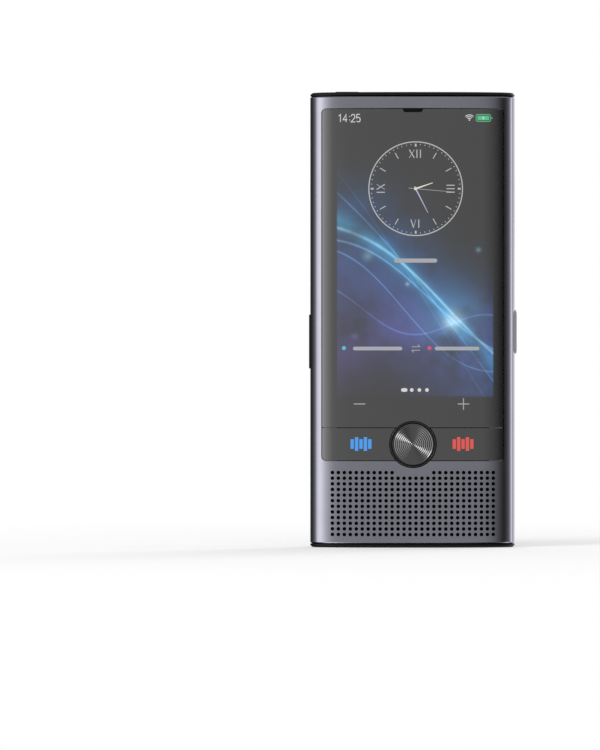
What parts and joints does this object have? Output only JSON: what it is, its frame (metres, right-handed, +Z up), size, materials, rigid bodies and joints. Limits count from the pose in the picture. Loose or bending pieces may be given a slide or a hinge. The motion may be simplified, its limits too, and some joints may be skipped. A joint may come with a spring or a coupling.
{
  "type": "handheld translator",
  "caption": "Slim oval handheld translator with a tall screen, two voice keys round a turned button, a drilled speaker grille and a rear camera island.",
  "frame": {"origin": "middle of the flat bottom that the device stands on", "axes": "+Z up along the body, -Y out of the screen, +X towards the right of the screen as its user sees it"},
  "size_m": [0.0508, 0.0116, 0.1113],
  "materials": {
    "sleeve_metal": "gunmetal, finely blasted and anodised",
    "cap_plastic": "black, smooth",
    "front_glass": "black printed behind, polished",
    "key_face": "black, polished",
    "ring_metal": "black gloss",
    "button_metal": "turned in fine rings",
    "back_glass": "smoked dark, polished",
    "island_frame": "dark grey satin",
    "lens_glass": "coated lens",
    "flash_glass": "pale yellow lamp cover",
    "silver_metal": "polished",
    "dark_key": "black satin",
    "light_key": "light anodised",
    "tray_metal": "gunmetal anodised",
    "card_plastic": "plain",
    "mesh_cloth": "fine black dust mesh",
    "screen_panel": "screen panel",
    "circuit_board": "green solder mask",
    "sheet_steel": "stamped",
    "battery_foil": "foil wrap",
    "black_moulding": "moulded",
    "ribbon_film": "amber film",
    "gold_plate": "plated"
  },
  "bodies": {
    "device": {"housing_sleeve": "sleeve_metal", "top_cap": "cap_plastic", "bottom_cap": "cap_plastic", "front_glass": "front_glass", "earpiece_mesh": "mesh_cloth", "display_module": "screen_panel", "earpiece_receiver": "black_moulding", "button_ring": "ring_metal", "key_board": "circuit_board", "left_key_dome": "sheet_steel", "round_button_dome": "sheet_steel", "right_key_dome": "sheet_steel", "power_switch": "sheet_steel", "left_side_switch": "sheet_steel", "right_side_switch": "sheet_steel", "sim_socket": "sheet_steel", "back_glass": "back_glass", "camera_plate": "island_frame", "upper_camera_lens": "lens_glass", "flash_lens": "flash_glass", "lower_camera_ring": "silver_metal", "lower_camera_lens": "lens_glass", "upper_camera_module": "black_moulding", "lower_camera_module": "black_moulding", "camera_bracket": "sheet_steel", "flash_led": "gold_plate", "midframe": "sheet_steel", "main_board": "circuit_board", "shield_can": "sheet_steel", "processor": "black_moulding", "battery": "battery_foil", "board_ribbon": "ribbon_film", "lower_board": "circuit_board", "usb_shell": "sheet_steel", "usb_tongue": "black_moulding", "microphone": "gold_plate", "speaker_mesh": "mesh_cloth", "speaker_box": "black_moulding", "speaker_cone": "black_moulding", "vibration_motor": "sheet_steel", "board_screw_1": "sheet_steel", "board_screw_2": "sheet_steel", "board_screw_3": "sheet_steel", "board_screw_4": "sheet_steel", "lower_screw_1": "sheet_steel", "lower_screw_2": "sheet_steel"},
    "left_voice_key": {"left_key": "key_face"},
    "right_voice_key": {"right_key": "key_face"},
    "centre_button": {"round_button": "button_metal"},
    "power_key": {"power_button": "dark_key"},
    "left_edge_key": {"left_side_key": "dark_key"},
    "right_edge_key": {"right_side_key": "light_key"},
    "card_tray": {"sim_tray": "tray_metal", "sim_card": "card_plastic"}
  },
  "joints": [
    {"name": "left_key_press", "type": "slide", "parent": "device", "child": "left_voice_key", "axis": [0, 1, 0], "range_m": [0, 0.00025], "stiffness_N_per_m": 3000},
    {"name": "right_key_press", "type": "slide", "parent": "device", "child": "right_voice_key", "axis": [0, 1, 0], "range_m": [0, 0.00025], "stiffness_N_per_m": 3000},
    {"name": "centre_button_press", "type": "slide", "parent": "device", "child": "centre_button", "axis": [0, 1, 0], "range_m": [0, 0.00035], "stiffness_N_per_m": 3000},
    {"name": "power_key_press", "type": "slide", "parent": "device", "child": "power_key", "axis": [0, 0, -1], "range_m": [0, 0.00025], "stiffness_N_per_m": 3000},
    {"name": "left_edge_key_press", "type": "slide", "parent": "device", "child": "left_edge_key", "axis": [1, 0, 0], "range_m": [0, 0.0003], "stiffness_N_per_m": 3000},
    {"name": "right_edge_key_press", "type": "slide", "parent": "device", "child": "right_edge_key", "axis": [-1, 0, 0], "range_m": [0, 0.0003], "stiffness_N_per_m": 3000},
    {"name": "card_tray_slide", "type": "slide", "parent": "device", "child": "card_tray", "axis": [1, 0, 0], "range_m": [0, 0.02]}
  ]
}
